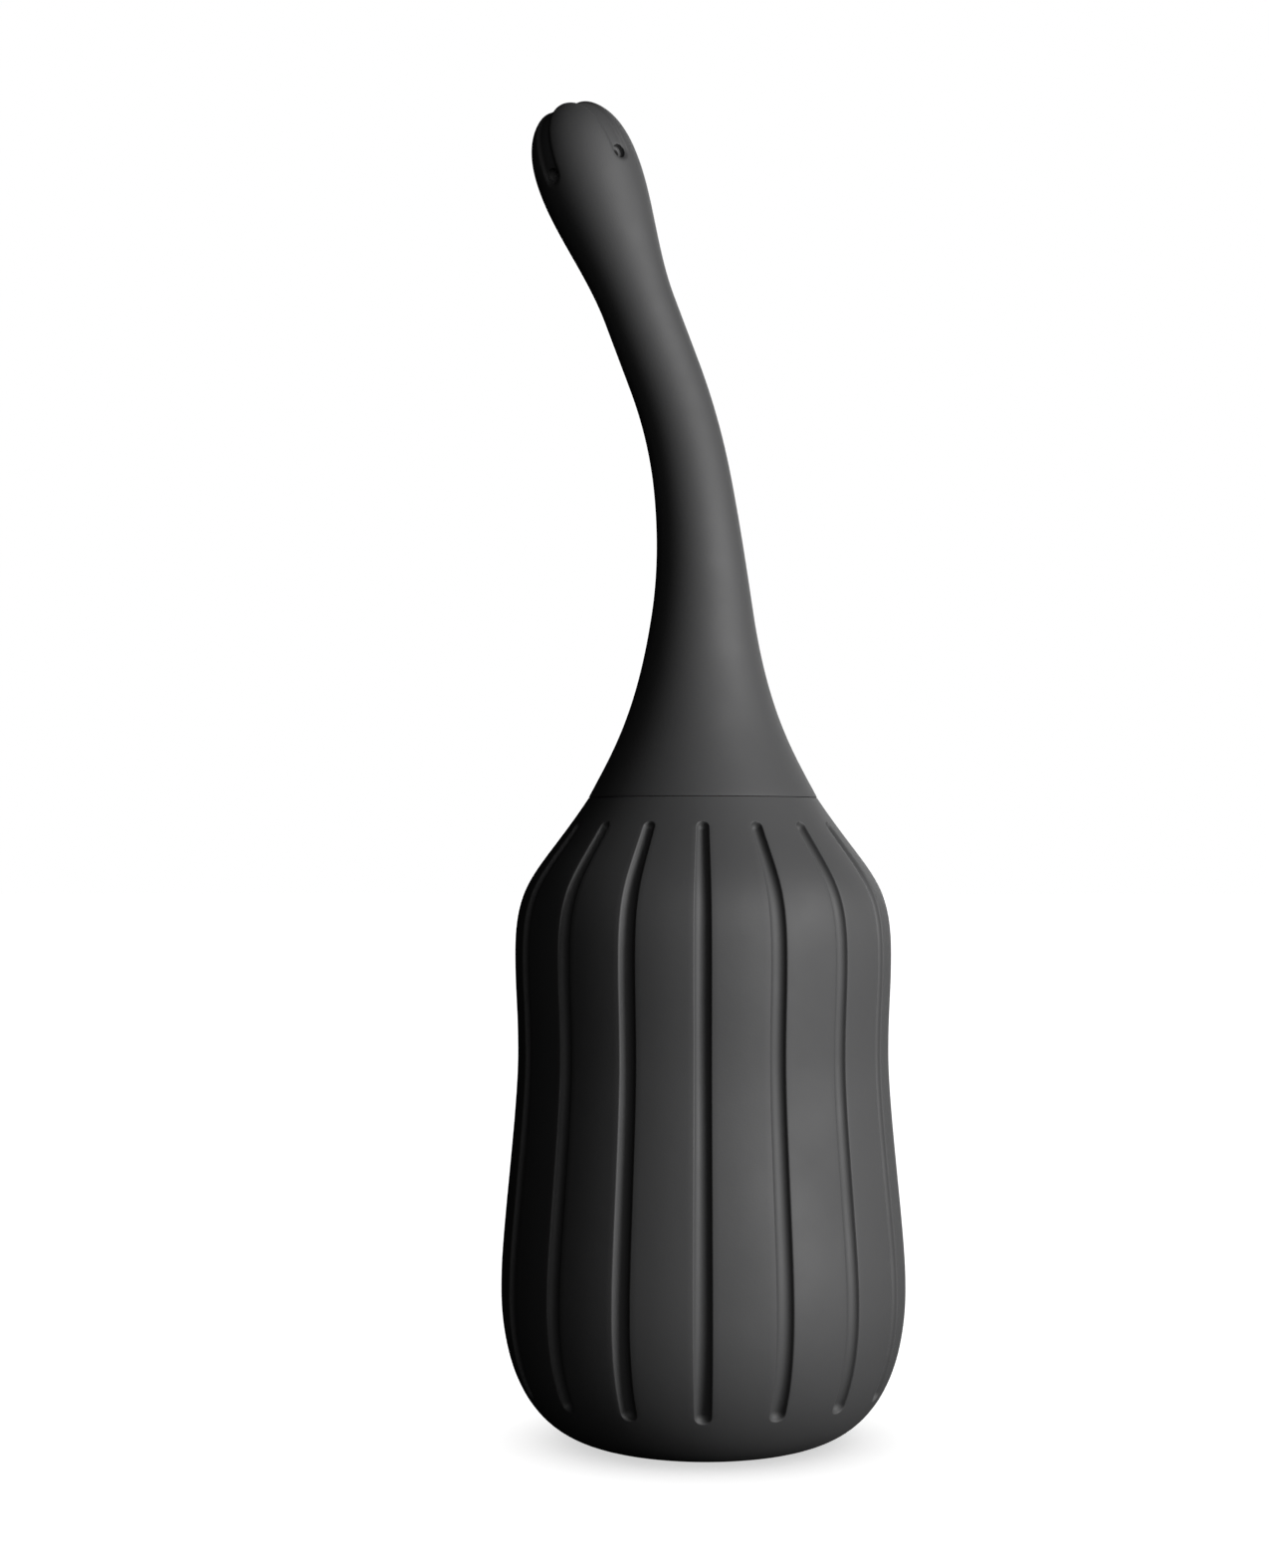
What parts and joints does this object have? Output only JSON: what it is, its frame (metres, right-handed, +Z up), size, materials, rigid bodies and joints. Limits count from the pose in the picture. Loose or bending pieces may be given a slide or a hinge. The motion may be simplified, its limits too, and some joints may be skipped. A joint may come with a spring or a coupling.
{
  "type": "squeeze bulb blower",
  "caption": "Soft ribbed squeeze bulb with a flat base, an intake valve and a long curved screw-in nozzle whose round head has side outlets.",
  "frame": {"origin": "on the bulb's axis, in the plane the base rests on", "axes": "+Z up along the bulb's axis, -X the way the nozzle leans"},
  "size_m": [0.075, 0.075, 0.2497],
  "materials": {
    "soft_skin": "matte silicone",
    "hard_plastic": "satin moulded plastic",
    "seal_rubber": "matte silicone",
    "steel": "polished stainless steel"
  },
  "bodies": {
    "bulb": {"squeeze_bulb": "soft_skin", "intake_bush": "hard_plastic", "retaining_ring": "hard_plastic"},
    "flap": {"intake_flap": "seal_rubber"},
    "collar": {"mouth_collar": "hard_plastic"},
    "seal": {"seal_ring": "seal_rubber"},
    "nozzle": {"nozzle_plug": "hard_plastic", "nozzle_lower": "soft_skin", "outlet_seat": "hard_plastic", "outlet_spring": "steel"},
    "ball": {"outlet_ball": "steel"},
    "tip": {"nozzle_upper": "soft_skin"}
  },
  "joints": [
    {"name": "intake_lift", "type": "slide", "parent": "bulb", "child": "flap", "axis": [0, 0, 1], "range_m": [0, 0.001], "stiffness_N_per_m": 60, "springref_m": -0.0005},
    {"name": "bulb_squeeze", "type": "slide", "parent": "bulb", "child": "collar", "axis": [0, 0, -1], "range_m": [0, 0.02], "stiffness_N_per_m": 1500, "springref_m": -0.001, "deforming": ["squeeze_bulb"]},
    {"name": "nozzle_lift", "type": "slide", "parent": "collar", "child": "seal", "axis": [0, 0, 1], "range_m": [0, 0.014]},
    {"name": "nozzle_turn", "type": "hinge", "parent": "seal", "child": "nozzle", "pos_m": [0, 0, 0.118], "axis": [0, 0, 1], "range_deg": [0, 1260]},
    {"name": "outlet_lift", "type": "slide", "parent": "nozzle", "child": "ball", "axis": [0, 0, 1], "range_m": [0, 0.0022], "stiffness_N_per_m": 80, "springref_m": -0.002, "deforming": ["outlet_spring"]},
    {"name": "nozzle_flex", "type": "hinge", "parent": "nozzle", "child": "tip", "pos_m": [0, 0, 0.1531], "axis": [0, 1, 0], "range_deg": [-20, 20], "stiffness_Nm_per_rad": 0.1, "springref_deg": 1.15}
  ],
  "couplings": [
    {"joint": "nozzle_lift", "follows": "nozzle_turn", "m_per_rad": 0.00063662}
  ]
}
